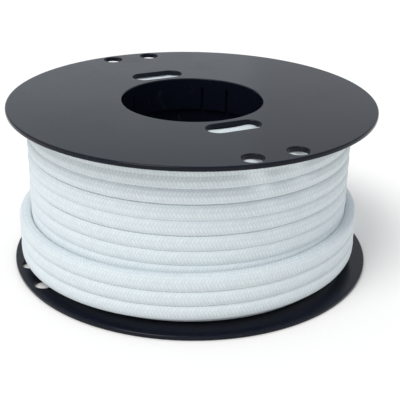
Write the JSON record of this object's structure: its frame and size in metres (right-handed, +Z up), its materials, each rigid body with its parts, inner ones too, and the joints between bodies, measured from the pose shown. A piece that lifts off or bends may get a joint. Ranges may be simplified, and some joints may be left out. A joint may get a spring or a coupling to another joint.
{
  "type": "string reel",
  "caption": "Flanged plastic reel wound with thick white braided cord, with a through bore, cord-end holes near the rim and slots beside the barrel.",
  "frame": {"origin": "on the bore's axis at the lower flange's outer face", "axes": "+Z up the bore; the upper flange's holes and slots lie on the Y axis and the lower flange's on the X axis"},
  "size_m": [0.2, 0.2, 0.0905],
  "materials": {
    "spool_plastic": "black moulded plastic, satin",
    "braided_cord": "white braided polyester",
    "tape": "cream cloth tape"
  },
  "bodies": {
    "root": {"lower_flange": "spool_plastic", "upper_flange": "spool_plastic", "barrel": "spool_plastic", "wound_cord": "braided_cord", "end_tape": "tape"}
  },
  "joints": []
}
